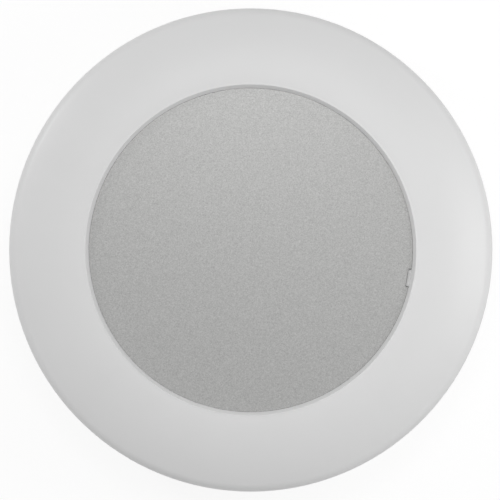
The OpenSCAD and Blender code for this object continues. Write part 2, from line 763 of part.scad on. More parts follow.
module driver_lid() {
    lip_h = 1.5;
    lip_gap = 0.15;
    lip_out = driver_wall + lip_gap;
    lip_in = 2 * driver_wall;
    groove_pitch = 6;
    groove_w = 2;
    groove_depth = 0.5;
    color("whitesmoke") translate([0, driver_y, tray_top_z + driver_case_h]) difference() {
        union() {
            round_slab(driver_l, driver_w, lid_t, driver_round);
            translate([0, 0, -lip_h])
                round_slab(driver_l - 2 * lip_out, driver_w - 2 * lip_out, lip_h + eps, driver_round / 2);
        }
        translate([0, 0, -lip_h - 1])
            round_slab(driver_l - 2 * lip_in, driver_w - 2 * lip_in, lip_h + 1, driver_round / 2);
        for (k = [-5 : 5])
            translate([k * groove_pitch - groove_w / 2, -driver_w / 4, lid_t - groove_depth])
                cube([groove_w, driver_w / 2, groove_depth + 1]);
    }
}

module driver_board() {
    stand_h = 2;
    stand_d = 5;
    stand_inset = 4;
    board_h = 1.6;
    end_space = 7;
    side_space = 1;
    l = driver_l - 2 * (driver_wall + end_space);
    w = driver_w - 2 * (driver_wall + side_space);
    top = stand_h + board_h - eps;
    free_h = driver_case_h - driver_wall - stand_h - board_h;
    transformer_l = l * 0.24;
    capacitor_d = w * 0.26;
    filter_l = l * 0.12;
    sink_l = l * 0.11;
    sink_t = 3;
    color("darkgreen") translate([0, driver_y, tray_top_z + driver_wall]) {
        for (x = [-1, 1], y = [-1, 1])
            translate([x * (l / 2 - stand_inset), y * (w / 2 - stand_inset), 0])
                cylinder(h = stand_h + eps, d = stand_d);
        translate([-l / 2, -w / 2, stand_h]) cube([l, w, board_h]);
        translate([-transformer_l / 2, -w / 4, top]) cube([transformer_l, w / 2, free_h * 0.8]);
        translate([l / 3, 0, top]) cylinder(h = free_h * 0.74, d = capacitor_d);
        translate([-l * 0.4, -w / 5, top]) cube([filter_l, w * 0.4, free_h * 0.6]);
        translate([l / 6, -w * 0.36, top]) cube([sink_l, sink_t, free_h * 0.68]);
    }
}

module driver_screws() {
    color("silver") for (x = [-1, 1])
        translate([x * driver_screw_x, driver_ear_y, tray_top_z + driver_ear_t])
            cross_screw(small_screw_d, small_screw_l, small_head_d, small_head_h);
}

module terminal_block() {
    block_round = 1.2;
    foot_space = 0.4;
    contact_gap = 0.2;
    contact_under = 0.05;
    groove_w = 0.8;
    groove_z = 10;
    cavity_h = well_lip + button_foot_h + button_travel + foot_space;
    color("lightgray") translate([term_x, term_y, tray_top_z]) difference() {
        union() {
            round_slab(term_l, term_w, term_h, block_round);
            translate([-term_ear_w / 2, -term_w / 2 - term_ear_l, 0])
                cube([term_ear_w, term_w + 2 * term_ear_l, term_ear_t]);
        }
        for (p = term_poles) translate([0, p * pole_pitch, 0]) {
            translate([term_l / 2 - mains_hole_depth, 0, term_wire_h]) rotate([0, 90, 0])
                cylinder(h = mains_hole_depth + 1, d = mains_hole_d);
            translate([-term_l / 2 - 1, 0, term_wire_h]) rotate([0, 90, 0])
                cylinder(h = term_wire_depth + 2, r = mains_d / 2 + wire_slack);
            translate([-contact_l / 2 - contact_gap, -contact_w / 2 - contact_gap,
                term_wire_h - contact_h / 2 - contact_under])
                cube([contact_l + 2 * contact_gap, contact_w + 2 * contact_gap, contact_h + 0.5]);
            translate([-well_l / 2 - well_gap, -well_w / 2 - well_gap, term_h - cavity_h])
                cube([well_l + 2 * well_gap, well_w + 2 * well_gap, cavity_h + 1]);
            translate([-well_l / 2 - button_foot_out - well_gap, -well_w / 2 - well_gap, term_h - cavity_h])
                cube([well_l + 2 * (button_foot_out + well_gap), well_w + 2 * well_gap, cavity_h - well_lip]);
        }
        for (y = [-1, 1]) translate([0, y * term_ear_y, -1])
            cylinder(h = term_ear_t + 2, r = small_screw_d / 2 + pass_gap);
        for (p = [-0.5, 0.5]) translate([-term_l / 2 - 1, p * pole_pitch - groove_w / 2, groove_z])
            cube([term_l + 2, groove_w, term_h]);
    }
}

module terminal_contacts() {
    color("darkgoldenrod") for (p = term_poles)
        translate([term_x, term_y + p * pole_pitch, term_wire_z - contact_h / 2]) difference() {
            translate([-contact_l / 2, -contact_w / 2, 0]) cube([contact_l, contact_w, contact_h]);
            translate([-contact_l / 2 - 1, -contact_w / 2 + contact_t, contact_t])
                cube([contact_l + 2, contact_w - 2 * contact_t, contact_h]);
        }
}

module terminal_screws() {
    color("silver") for (y = [-1, 1])
        translate([term_x, term_y + y * term_ear_y, tray_top_z + term_ear_t])
            cross_screw(small_screw_d, small_screw_l, small_head_d, small_head_h);
}

module terminal_button(p) {
    slot_w = 1.2;
    slot_depth = 0.6;
    slot_inset = 1;
    top = tray_top_z + term_h;
    color("darkorange") translate([term_x, term_y + p * pole_pitch, top]) difference() {
        union() {
            translate([0, 0, -well_lip - button_foot_h / 2])
                linear_extrude(height = well_lip + button_foot_h / 2 + button_rise)
                    square([well_l, well_w], center = true);
            translate([0, 0, -well_lip - button_foot_h - eps])
                linear_extrude(height = button_foot_h)
                    square([well_l + 2 * button_foot_out, well_w], center = true);
        }
        translate([0, 0, button_rise - slot_depth])
            linear_extrude(height = 1) square([well_l - 2 * slot_inset, slot_w], center = true);
    }
}

module earth_screw() {
    color("silver") translate([earth_x, earth_y, tray_top_z + lug_t])
        cross_screw(earth_screw_d, earth_screw_l, earth_head_d, tray_screw_head_h);
}

module earth_lug() {
    neck_w = 3.2;
    neck_overlap = 0.5;
    barrel_end = 1;
    color("silver") translate([earth_x, earth_y, tray_top_z]) difference() {
        union() {
            cylinder(h = lug_t, r = lug_r);
            translate([-neck_w / 2, 0, 0]) cube([neck_w, lug_barrel_y + neck_overlap, lug_t]);
            translate([0, lug_barrel_y, lug_barrel_r]) rotate([-90, 0, 0])
                cylinder(h = lug_barrel_l, r = lug_barrel_r);
        }
        translate([0, 0, -1]) cylinder(h = lug_t + 2, r = earth_screw_d / 2 + pass_gap);
        translate([0, lug_barrel_y + barrel_end, lug_barrel_r]) rotate([-90, 0, 0])
            cylinder(h = lug_barrel_l, r = mains_d / 2 + wire_slack / 2);
    }
}

module wire_live() {
    color("sienna") wire(live_route, mains_d);
}

module wire_neutral() {
    color("royalblue") wire(neutral_route, mains_d);
}

module wire_earth() {
    color("yellowgreen") wire(earth_route, mains_d);
}

module wire_led_plus() {
    color("red") wire(plus_route, led_wire_d);
}

module wire_led_minus() {
    color("black") wire(minus_route, led_wire_d);
}

module diffuser_shell() {
    under_r = recess_top_r + diff_wall;
    under_turn = asin((crest_r - under_r) / (crown_in_r - diff_wall));
    skirt_edge = 0.5;
    rotate_extrude($fn = 96) polygon(concat(
        [[body_r - skirt_edge, skirt_z], [body_r, skirt_z + skirt_edge]],
        arc(skirt_top_r - edge_r, edge_z, edge_r, 0, 90 - edge_turn, 7),
        arc(crest_r, body_h - crown_r, crown_r, 90 - edge_turn, 90, 9),
        arc(crest_r, body_h - crown_in_r, crown_in_r, 90, 90 + lip_turn, 4),
        arc(lip_r, bead_z, bead_r, bead_start, bead_end, 6),
        [[recess_foot_r, face_z], [recess_foot_r, ledge_z], [ledge_in_r, ledge_z]],
        arc(floor_r - floor_fillet, floor_z + floor_fillet, floor_fillet, 0, -90, 4),
        [[0, floor_z], [0, floor_under_z]],
        arc(floor_r + diff_wall - floor_fillet, floor_under_z + floor_fillet, floor_fillet, -90, 0, 4),
        [[ledge_in_r + diff_wall, ledge_z - diff_wall], [recess_foot_r + diff_wall, ledge_z - diff_wall],
         [recess_foot_r + diff_wall, face_z - diff_wall / 2]],
        arc(crest_r, body_h - crown_in_r, crown_in_r - diff_wall, 90 + under_turn, 90, 4),
        arc(crest_r, body_h - crown_r, crown_r - diff_wall, 90, 90 - edge_turn, 7),
        arc(skirt_top_r - edge_r, edge_z, edge_r - diff_wall, 90 - edge_turn, 0, 4),
        [[body_r - diff_wall, skirt_z]]));
}

function catch_angles() = [for (i = [0 : catch_count - 1]) notch_angle + 30 + 60 * i];

module diffuser() {
    gusset_out = 6;
    gusset_edge_h = 1;
    gusset_h = boss_len - 3;
    hub_r = 24;
    catch_nose = 0.8;
    catch_slope_h = 1;
    catch_edge = 0.6;
    catch_top_z = floor_z + catch_h;
    prise_land = 0.3;
    color("white") difference() {
        union() {
            diffuser_shell();
            for (a = screw_angles) polar(screw_circle_r, a) {
                translate([0, 0, joint_z]) cylinder(h = boss_len + eps, d = boss_d);
                for (b = [60 : 60 : 300]) rotate([0, 0, b])
                    plate_profile([[0, floor_under_z + eps], [boss_d / 2 + gusset_out, floor_under_z + eps],
                        [boss_d / 2 + gusset_out, floor_under_z - gusset_edge_h],
                        [boss_d / 2, floor_under_z - gusset_h],
                        [0, floor_under_z - gusset_h]], rib_t);
            }
            for (a = [0 : 60 : 300])
                rotate([0, 0, a]) translate([hub_r - rib_t / 2, -rib_t / 2, floor_under_z - floor_rib_h])
                    cube([floor_r - hub_r, rib_t, floor_rib_h + eps]);
            tube(hub_r - rib_t, hub_r, floor_under_z - floor_rib_h, floor_under_z + eps);
            for (a = catch_angles()) rotate([0, 0, a])
                plate_profile([[catch_post_r - catch_post_t, floor_z - eps], [catch_post_r, floor_z - eps],
                    [catch_post_r, catch_top_z - catch_edge], [catch_post_r - catch_edge, catch_top_z],
                    [leg_r + snap_gap + catch_nose, catch_top_z],
                    [leg_r + snap_gap, catch_top_z - catch_slope_h],
                    [leg_r + snap_gap, catch_top_z - catch_lip_t],
                    [catch_post_r - catch_post_t, catch_top_z - catch_lip_t]], catch_w);
        }
        // Slope in the ledge, below the prise notch
        rotate([0, 0, notch_angle]) plate_profile([[recess_foot_r - prise_land, ledge_z + eps],
            [ledge_in_r - 1, ledge_z + eps], [ledge_in_r - 1, ledge_z - prise_drop]], notch_w);
        for (a = screw_angles) polar(screw_circle_r, a) {
            translate([0, 0, joint_z - 1]) cylinder(h = floor_z - joint_z + 2, r = screw_d / 2 + pass_gap);
            translate([0, 0, joint_z - 1]) cylinder(h = clip_seat_h + 1, r = clip_seat_r);
        }
    }
}

module sealing_washers() {
    color("dimgray") for (a = screw_angles) polar(screw_circle_r, a)
        tube(screw_d / 2 + fit_gap, washer_d / 2, floor_z, head_z);
}

module captive_screw(i) {
    color("silver") polar(screw_circle_r, screw_angles[i], head_z)
        cross_screw(screw_d, screw_len, screw_head_d, screw_head_h);
}

module retaining_clip(i) {
    tooth_w = 1.2;
    color("black") polar(screw_circle_r, screw_angles[i], joint_z + clip_seat_h - clip_t - 0.3) difference() {
        cylinder(h = clip_t, r = clip_r);
        translate([0, 0, -1]) cylinder(h = clip_t + 2, r = screw_d / 2 + fit_gap / 2);
        for (a = [0 : 90 : 270]) rotate([0, 0, a]) translate([0, -tooth_w / 2, -1])
            cube([clip_r - 0.9, tooth_w, clip_t + 2]);
    }
}

module centre_cover_shell() {
    rotate_extrude($fn = 96) polygon(concat(
        [[0, face_under_z], [0, face_z]],
        arc(cover_r - rim_r, face_z - rim_r, rim_r, 90, 0, 6),
        [[cover_r, ledge_z], [cover_r - rim_t, ledge_z], [cover_r - rim_t, face_under_z]]));
}

// Cut in the rim, with round inner corners
module prise_notch() {
    corner_r = 0.8;
    z0 = ledge_z - 1;
    h = rim_h + 2;
    rotate([0, 0, notch_angle]) translate([cover_r - notch_depth, 0, z0]) {
        translate([corner_r, -notch_w / 2, 0]) cube([notch_depth + corner_r, notch_w, h]);
        translate([0, -notch_w / 2 + corner_r, 0]) cube([notch_depth, notch_w - 2 * corner_r, h]);
        for (s = [-1, 1])
            translate([corner_r, s * (notch_w / 2 - corner_r), 0]) cylinder(h = h, r = corner_r);
    }
}

module centre_cover() {
    leg_foot_z = floor_z + leg_foot_gap;
    leg_taper = 0.4;
    barb_z = floor_z + catch_h - catch_lip_t - snap_gap;
    barb_slope = 0.2;
    barb_t = 0.7;
    back_rib_r = 60;
    back_rib_h = 2;
    back_rib_z = face_under_z - back_rib_h;
    color("silver") difference() {
        union() {
            centre_cover_shell();
            tube(back_rib_r, back_rib_r + rib_t, back_rib_z, face_under_z + eps);
            for (a = catch_angles()) {
                rotate([0, 0, a]) plate_profile([
                    [leg_r - leg_t, face_under_z + eps], [leg_r, face_under_z + eps], [leg_r, barb_z],
                    [leg_r + barb, barb_z - barb_slope], [leg_r + barb, barb_z - barb_t],
                    [leg_r - leg_taper, leg_foot_z], [leg_r - leg_t, leg_foot_z]], leg_w);
                rotate([0, 0, a + 30]) translate([back_rib_r + rib_t / 2, -rib_t / 2, back_rib_z])
                    cube([ledge_in_r - 1 - back_rib_r, rib_t, back_rib_h + eps]);
            }
        }
        prise_notch();
    }
}

base_pan();
back_gasket();
rim_gasket();
cable_grommet();
blanking_plug();
threaded_inserts();
gear_tray();
gear_tray_screws();
led_board(0);  // led_board_1
led_board(1);  // led_board_2
led_board(2);  // led_board_3
led_board(3);  // led_board_4
led_chips(0);  // led_chips_1
led_chips(1);  // led_chips_2
led_chips(2);  // led_chips_3
led_chips(3);  // led_chips_4
board_connectors();
board_screws();
board_jumpers();
driver_case();
driver_lid();
driver_board();
driver_screws();
terminal_block();
terminal_contacts();
terminal_screws();
terminal_button(1);  // terminal_button_live
terminal_button(0);  // terminal_button_neutral
terminal_button(-1);  // terminal_button_earth
earth_screw();
earth_lug();
wire_live();
wire_neutral();
wire_earth();
wire_led_plus();
wire_led_minus();
diffuser();
sealing_washers();
captive_screw(0);  // captive_screw_1
captive_screw(1);  // captive_screw_2
captive_screw(2);  // captive_screw_3
retaining_clip(0);  // retaining_clip_1
retaining_clip(1);  // retaining_clip_2
retaining_clip(2);  // retaining_clip_3
centre_cover();
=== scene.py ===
import json
import math

import bmesh
import bpy
from mathutils import Matrix, Vector

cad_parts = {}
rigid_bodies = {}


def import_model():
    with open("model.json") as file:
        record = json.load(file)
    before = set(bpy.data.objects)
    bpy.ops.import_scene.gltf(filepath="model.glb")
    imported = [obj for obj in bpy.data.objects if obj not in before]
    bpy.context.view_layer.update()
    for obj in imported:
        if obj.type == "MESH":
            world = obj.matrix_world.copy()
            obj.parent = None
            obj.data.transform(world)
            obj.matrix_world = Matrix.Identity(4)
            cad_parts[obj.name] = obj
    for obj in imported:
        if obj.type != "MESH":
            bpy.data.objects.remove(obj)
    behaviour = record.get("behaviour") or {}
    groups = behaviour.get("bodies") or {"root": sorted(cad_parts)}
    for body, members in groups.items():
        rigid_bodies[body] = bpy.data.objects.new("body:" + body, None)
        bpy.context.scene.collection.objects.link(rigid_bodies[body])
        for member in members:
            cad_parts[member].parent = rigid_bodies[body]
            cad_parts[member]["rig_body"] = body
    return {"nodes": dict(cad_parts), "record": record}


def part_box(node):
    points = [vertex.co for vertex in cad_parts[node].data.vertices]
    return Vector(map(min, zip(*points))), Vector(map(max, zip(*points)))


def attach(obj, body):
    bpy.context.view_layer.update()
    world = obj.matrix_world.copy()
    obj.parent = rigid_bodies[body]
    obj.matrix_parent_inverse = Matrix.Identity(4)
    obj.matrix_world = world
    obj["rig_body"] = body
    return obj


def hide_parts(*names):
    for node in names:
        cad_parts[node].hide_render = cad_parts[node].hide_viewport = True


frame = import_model()
nodes = frame["nodes"]
bodyOf = {name: node["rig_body"] for name, node in nodes.items()}
slotOf = {entry["node"]: entry["material_slot"] for entry in frame["record"]["subparts"]}
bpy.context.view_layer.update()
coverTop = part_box("centre_cover")[1][2]
print("frame loaded,", len(nodes), "nodes")


def toLinear(hexCode):
    channels = [int(hexCode[i : i + 2], 16) / 255 for i in (1, 3, 5)]
    return [c / 12.92 if c <= 0.04045 else ((c + 0.055) / 1.055) ** 2.4 for c in channels] + [1.0]


# Settings are a node's properties and inputs, with a colour as hex, and links bring other nodes' outputs to
# its inputs. An input may be named by its number: a Mix has its two colours at 6 and 7.
def addNode(tree, kind, settings=None, links=None):
    made = tree.nodes.new(kind)
    for key, value in (settings or {}).items():
        if isinstance(key, str) and hasattr(made, key):
            setattr(made, key, value)
        else:
            made.inputs[key].default_value = toLinear(value) if isinstance(value, str) else value
    for key, source in (links or {}).items():
        tree.links.new(source, made.inputs[key])
    return made


# Patterns read Object coordinates, which are metres, so a grain of so many millimetres has this scale
def perMetre(millimetres):
    return 1000 / millimetres


def startMaterial(name):
    material = bpy.data.materials.new(name)
    material.use_nodes = True
    tree = material.node_tree
    tree.nodes.clear()
    place = addNode(tree, "ShaderNodeTexCoord").outputs["Object"]
    return material, tree, place


def endMaterial(tree, shader):
    addNode(tree, "ShaderNodeOutputMaterial", links={"Surface": shader.outputs[0]})


# Camera: straight in front of the light, which lies on its back with the top of the photo towards +Y
photoView = {
    "height": 2.6,
    "offsetX": -0.0005,
    "seenWidth": 0.3095,  # what the frame takes in at the rim
    "rimHeight": 0.055,
    "sensor": 36,
    "farEnd": 50,
}
rimDistance = photoView["height"] - photoView["rimHeight"]
cameraData = bpy.data.cameras.new("photoCamera")
cameraData.sensor_width = photoView["sensor"]
cameraData.lens = photoView["sensor"] * rimDistance / photoView["seenWidth"]
cameraData.clip_end = photoView["farEnd"]
camera = bpy.data.objects.new("photoCamera", cameraData)
camera.location = (photoView["offsetX"], 0, photoView["height"])
bpy.context.scene.collection.objects.link(camera)
bpy.context.scene.camera = camera
bpy.context.scene.view_settings.view_transform = "Standard"

# Lamps: a small low one at the upper left, a soft box close by on the right, and one high above the top
# edge, all turned towards the middle of the light
studioLamps = {
    "leftLamp": {"place": (-0.93, 0.54, 0.53), "size": 0.14, "watts": 2.1},
    "rightBox": {"place": (0.45, 0.0, 0.4), "size": 0.25, "watts": 0.69},
    "topBox": {"place": (0.0, 0.27, 1.2), "size": 0.35, "watts": 1.79},
}
for lampName, lamp in studioLamps.items():
    lampData = bpy.data.lights.new(lampName, "AREA")
    lampData.shape = "SQUARE"
    lampData.size = lamp["size"]
    lampData.energy = lamp["watts"]
    lampObject = bpy.data.objects.new(lampName, lampData)
    lampObject.location = lamp["place"]
    lampObject.rotation_euler = (-Vector(lamp["place"])).to_track_quat("-Z", "Y").to_euler()
    bpy.context.scene.collection.objects.link(lampObject)


# 1 for what the camera sees by itself, in a gloss or through a clear piece, and 0 for light that bounces
def seenByCamera(tree):
    path = addNode(tree, "ShaderNodeLightPath")
    indirect = addNode(
        tree,
        "ShaderNodeMath",
        {"operation": "ADD"},
        {0: path.outputs["Is Glossy Ray"], 1: path.outputs["Is Transmission Ray"]},
    )
    return addNode(
        tree,
        "ShaderNodeMath",
        {"operation": "ADD", "use_clamp": True},
        {0: path.outputs["Is Camera Ray"], 1: indirect.outputs[0]},
    )


# Walls: they light the object softly from all round, and look white
studioWalls = {"colour": "#ffffff", "softLevel": 0.48, "seenLevel": 1.0}
world = bpy.data.worlds.new("studioWalls")
bpy.context.scene.world = world
world.use_nodes = True
wallTree = world.node_tree
wallTree.nodes.clear()
wallSeen = seenByCamera(wallTree)
wallSoft = addNode(
    wallTree,
    "ShaderNodeBackground",
    {"Color": studioWalls["colour"], "Strength": studioWalls["softLevel"]},
)
wallWhite = addNode(
    wallTree,
    "ShaderNodeBackground",
    {"Color": studioWalls["colour"], "Strength": studioWalls["seenLevel"]},
)
wallMix = addNode(
    wallTree,
    "ShaderNodeMixShader",
    links={0: wallSeen.outputs[0], 1: wallSoft.outputs[0], 2: wallWhite.outputs[0]},
)
addNode(wallTree, "ShaderNodeOutputWorld", links={"Surface": wallMix.outputs[0]})

# Floor: white board, bright to the camera but with the light's own soft shadow on it
whiteBoard = {"size": 6.0, "bounce": "#e8e8e8", "shade": "#7c7c7c", "glow": "#ffffff", "glowLevel": 0.84}
boardMaterial, boardTree = startMaterial("whiteBoard")[:2]
boardSeen = seenByCamera(boardTree)
boardBounce = addNode(boardTree, "ShaderNodeBsdfDiffuse", {"Color": whiteBoard["bounce"]})
boardShade = addNode(boardTree, "ShaderNodeBsdfDiffuse", {"Color": whiteBoard["shade"]})
boardGlow = addNode(
    boardTree, "ShaderNodeEmission", {"Color": whiteBoard["glow"], "Strength": whiteBoard["glowLevel"]}
)
boardBright = addNode(
    boardTree, "ShaderNodeAddShader", links={0: boardShade.outputs[0], 1: boardGlow.outputs[0]}
)
boardMix = addNode(
    boardTree,
    "ShaderNodeMixShader",
    links={0: boardSeen.outputs[0], 1: boardBounce.outputs[0], 2: boardBright.outputs[0]},
)
endMaterial(boardTree, boardMix)

floorMesh = bpy.data.meshes.new("floor")
floorForm = bmesh.new()
bmesh.ops.create_grid(floorForm, x_segments=1, y_segments=1, size=whiteBoard["size"] / 2)
floorForm.to_mesh(floorMesh)
floorForm.free()
floor = bpy.data.objects.new("floor", floorMesh)
floor.data.materials.append(boardMaterial)
bpy.context.scene.collection.objects.link(floor)
print("camera, lamps and floor made")


# Opal polycarbonate, injection moulded in a finely blasted tool: milky, even, with a soft broad sheen
opal = {
    "colour": "#e9e9e9",
    "shade": "#e6e6e6",
    "drift": 45,
    "roughness": 0.42,
    "ior": 1.585,
    "milk": 0.25,
    "milkDepth": 0.0025,
    "grain": 0.45,
    "grainDepth": 0.00004,
    "grainStrength": 0.12,
}
opalPolycarbonate, tree, place = startMaterial("opalPolycarbonate")
flow = addNode(
    tree, "ShaderNodeTexNoise", {"Scale": perMetre(opal["drift"]), "Detail": 2.0}, {"Vector": place}
)
tone = addNode(
    tree,
    "ShaderNodeMix",
    {"data_type": "RGBA", 6: opal["colour"], 7: opal["shade"]},
    {0: flow.outputs[0]},
)
grain = addNode(
    tree, "ShaderNodeTexNoise", {"Scale": perMetre(opal["grain"]), "Detail": 2.0}, {"Vector": place}
)
bump = addNode(
    tree,
    "ShaderNodeBump",
    {"Strength": opal["grainStrength"], "Distance": opal["grainDepth"]},
    {"Height": grain.outputs[0]},
)
shader = addNode(
    tree,
    "ShaderNodeBsdfPrincipled",
    {
        "Roughness": opal["roughness"],
        "IOR": opal["ior"],
        "Subsurface Weight": opal["milk"],
        "Subsurface Radius": (1.0, 1.0, 1.0),
        "Subsurface Scale": opal["milkDepth"],
    },
    {"Base Color": tone.outputs[2], "Normal": bump.outputs[0]},
)
endMaterial(tree, shader)


# Silver lacquer on a moulded disc: aluminium flakes in a clear binder, a soft metal sheen with a fine
# speckle. Real flakes are finer than the photo shows, so they are drawn as coarse as its speckle.
lacquer = {
    "light": "#b8b8b7",
    "dark": "#969695",
    "metallic": 0.25,
    "roughness": 0.34,
    "flake": 0.9,
    "flakeShare": 0.5,
    "fineFlake": 0.5,
    "speckleFrom": 0.45,
    "speckleTo": 1.05,
    "peel": 4.0,
    "peelDepth": 0.00005,
    "peelStrength": 0.1,
}
silverLacquer, tree, place = startMaterial("silverLacquer")
flakes = addNode(
    tree, "ShaderNodeTexNoise", {"Scale": perMetre(lacquer["flake"]), "Detail": 1.0}, {"Vector": place}
)
fineFlakes = addNode(
    tree, "ShaderNodeTexNoise", {"Scale": perMetre(lacquer["fineFlake"]), "Detail": 1.0}, {"Vector": place}
)
speckle = addNode(
    tree,
    "ShaderNodeMath",
    {"operation": "MULTIPLY_ADD", 1: lacquer["flakeShare"]},
    {0: flakes.outputs[0], 2: fineFlakes.outputs[0]},
)
spread = addNode(
    tree,
    "ShaderNodeMapRange",
    {1: lacquer["speckleFrom"], 2: lacquer["speckleTo"], 3: 0.0, 4: 1.0},
    {0: speckle.outputs[0]},
)
tone = addNode(
    tree,
    "ShaderNodeMix",
    {"data_type": "RGBA", 6: lacquer["dark"], 7: lacquer["light"]},
    {0: spread.outputs[0]},
)
peel = addNode(
    tree, "ShaderNodeTexNoise", {"Scale": perMetre(lacquer["peel"]), "Detail": 1.0}, {"Vector": place}
)
bump = addNode(
    tree,
    "ShaderNodeBump",
    {"Strength": lacquer["peelStrength"], "Distance": lacquer["peelDepth"]},
    {"Height": peel.outputs[0]},
)
shader = addNode(
    tree,
    "ShaderNodeBsdfPrincipled",
    {"Metallic": lacquer["metallic"], "Roughness": lacquer["roughness"]},
    {"Base Color": tone.outputs[2], "Normal": bump.outputs[0]},
)
endMaterial(tree, shader)


# Moulded plastics differ in colour and sheen, and all have a faint flow and the tool's spark-eroded grain.
# The grain's width and depth are in millimetres.
moulding = {"flow": 30, "pitsFrom": 0.3, "pitsTo": 0.7, "glossSpread": 0.05, "grainStrength": 0.3}


def mouldedPlastic(name, colour, shade, roughness, ior, grain, depth):
    material, tree, place = startMaterial(name)
    flow = addNode(
        tree, "ShaderNodeTexNoise", {"Scale": perMetre(moulding["flow"]), "Detail": 3.0}, {"Vector": place}
    )
    tone = addNode(
        tree, "ShaderNodeMix", {"data_type": "RGBA", 6: colour, 7: shade}, {0: flow.outputs[0]}
    )
    pits = addNode(
        tree, "ShaderNodeTexNoise", {"Scale": perMetre(grain), "Detail": 3.0}, {"Vector": place}
    )
    gloss = addNode(
        tree,
        "ShaderNodeMapRange",
        {
            1: moulding["pitsFrom"],
            2: moulding["pitsTo"],
            3: roughness - moulding["glossSpread"],
            4: roughness + moulding["glossSpread"],
        },
        {0: pits.outputs[0]},
    )
    bump = addNode(
        tree,
        "ShaderNodeBump",
        {"Strength": moulding["grainStrength"], "Distance": depth / 1000},
        {"Height": pits.outputs[0]},
    )
    shader = addNode(
        tree,
        "ShaderNodeBsdfPrincipled",
        {"IOR": ior},
        {"Base Color": tone.outputs[2], "Roughness": gloss.outputs[0], "Normal": bump.outputs[0]},
    )
    endMaterial(tree, shader)
    return material


# White ABS of the base pan, dull enough to hide finger marks
whiteAbs = mouldedPlastic("whiteAbs", "#ecebe7", "#e6e5e1", 0.45, 1.53, 0.6, 0.05)
# Polycarbonate of the driver's case, slightly greyer and glossier than the pan
driverPolycarbonate = mouldedPlastic("driverPolycarbonate", "#dfe0de", "#d6d8d6", 0.34, 1.58, 0.8, 0.04)
# Light grey polyamide of the terminal block, waxy with a dry grain
greyPolyamide = mouldedPlastic("greyPolyamide", "#a4a9ab", "#999ea1", 0.5, 1.53, 0.5, 0.05)
# Orange polyamide of the push buttons
orangePolyamide = mouldedPlastic("orangePolyamide", "#e2711d", "#d8681a", 0.42, 1.53, 0.5, 0.03)
# Natural polyamide of the board connectors, a warm off-white
naturalPolyamide = mouldedPlastic("naturalPolyamide", "#e7e3d3", "#dfdac8", 0.44, 1.53, 0.5, 0.03)
# Black nylon of the retaining clips
blackNylon = mouldedPlastic("blackNylon", "#1d1e20", "#25272a", 0.48, 1.53, 0.5, 0.04)
# White polymer of an LED package's frame, finer in its grain
packageFrame = mouldedPlastic("packageFrame", "#efefe9", "#e7e7e0", 0.4, 1.55, 0.4, 0.01)

# Rubbers and foams: dull, with a skin whose cells or talc show as a mottle. The width and depth of the cells
# are in millimetres.
rubber = {
    "talc": 6,
    "talcFrom": 0.4,
    "talcTo": 0.75,
    "talcMost": 0.7,
    "ior": 1.5,
    "specular": 0.35,
    "cellStrength": 0.5,
}


def rubberSkin(name, colour, bloom, roughness, cell, depth):
    material, tree, place = startMaterial(name)
    cells = addNode(tree, "ShaderNodeTexVoronoi", {"Scale": perMetre(cell)}, {"Vector": place})
    talc = addNode(
        tree, "ShaderNodeTexNoise", {"Scale": perMetre(rubber["talc"]), "Detail": 4.0}, {"Vector": place}
    )
    dusting = addNode(
        tree,
        "ShaderNodeMapRange",
        {1: rubber["talcFrom"], 2: rubber["talcTo"], 3: 0.0, 4: rubber["talcMost"]},
        {0: talc.outputs[0]},
    )
    tone = addNode(
        tree, "ShaderNodeMix", {"data_type": "RGBA", 6: colour, 7: bloom}, {0: dusting.outputs[0]}
    )
    bump = addNode(
        tree,
        "ShaderNodeBump",
        {"Strength": rubber["cellStrength"], "Distance": depth / 1000},
        {"Height": cells.outputs["Distance"]},
    )
    shader = addNode(
        tree,
        "ShaderNodeBsdfPrincipled",
        {"Roughness": roughness, "IOR": rubber["ior"], "Specular IOR Level": rubber["specular"]},
        {"Base Color": tone.outputs[2], "Normal": bump.outputs[0]},
    )
    endMaterial(tree, shader)
    return material


# Closed-cell foam rubber of the back gasket, its cut cells about 0.7 mm wide
foamRubber = rubberSkin("foamRubber", "#2e3032", "#4a4c4e", 0.85, 0.7, 0.25)
# EPDM of the grommet and plug, with a little grey bloom
epdmRubber = rubberSkin("epdmRubber", "#1a1b1c", "#303234", 0.6, 0.5, 0.03)
# Silicone of the rim gasket, milky and a little greasy
rimSilicone = rubberSkin("rimSilicone", "#b9bbbb", "#c9cbcb", 0.5, 0.9, 0.02)
# Darker silicone of the sealing washers
washerSilicone = rubberSkin("washerSilicone", "#55585b", "#63666a", 0.55, 0.6, 0.02)

# PVC insulation: smooth and waxy, drawn from a die, so its streaks are soft
insulation = {"streak": 5, "streakDepth": 0.00003, "streakStrength": 0.15, "roughness": 0.36, "ior": 1.53}


def pvcInsulation(name, colour, worn):
    material, tree, place = startMaterial(name)
    streak = addNode(
        tree,
        "ShaderNodeTexNoise",
        {"Scale": perMetre(insulation["streak"]), "Detail": 2.0},
        {"Vector": place},
    )
    tone = addNode(
        tree, "ShaderNodeMix", {"data_type": "RGBA", 6: colour, 7: worn}, {0: streak.outputs[0]}
    )
    bump = addNode(
        tree,
        "ShaderNodeBump",
        {"Strength": insulation["streakStrength"], "Distance": insulation["streakDepth"]},
        {"Height": streak.outputs[0]},
    )
    shader = addNode(
        tree,
        "ShaderNodeBsdfPrincipled",
        {"Roughness": insulation["roughness"], "IOR": insulation["ior"]},
        {"Base Color": tone.outputs[2], "Normal": bump.outputs[0]},
    )
    endMaterial(tree, shader)
    return material


brownPvc = pvcInsulation("brownPvc", "#5b3320", "#663b27")
bluePvc = pvcInsulation("bluePvc", "#1f4f93", "#2a5a9c")
redPvc = pvcInsulation("redPvc", "#b3201c", "#bd2d27")
blackPvc = pvcInsulation("blackPvc", "#17181a", "#212225")
whitePvc = pvcInsulation("whitePvc", "#e3e2dc", "#dad9d2")

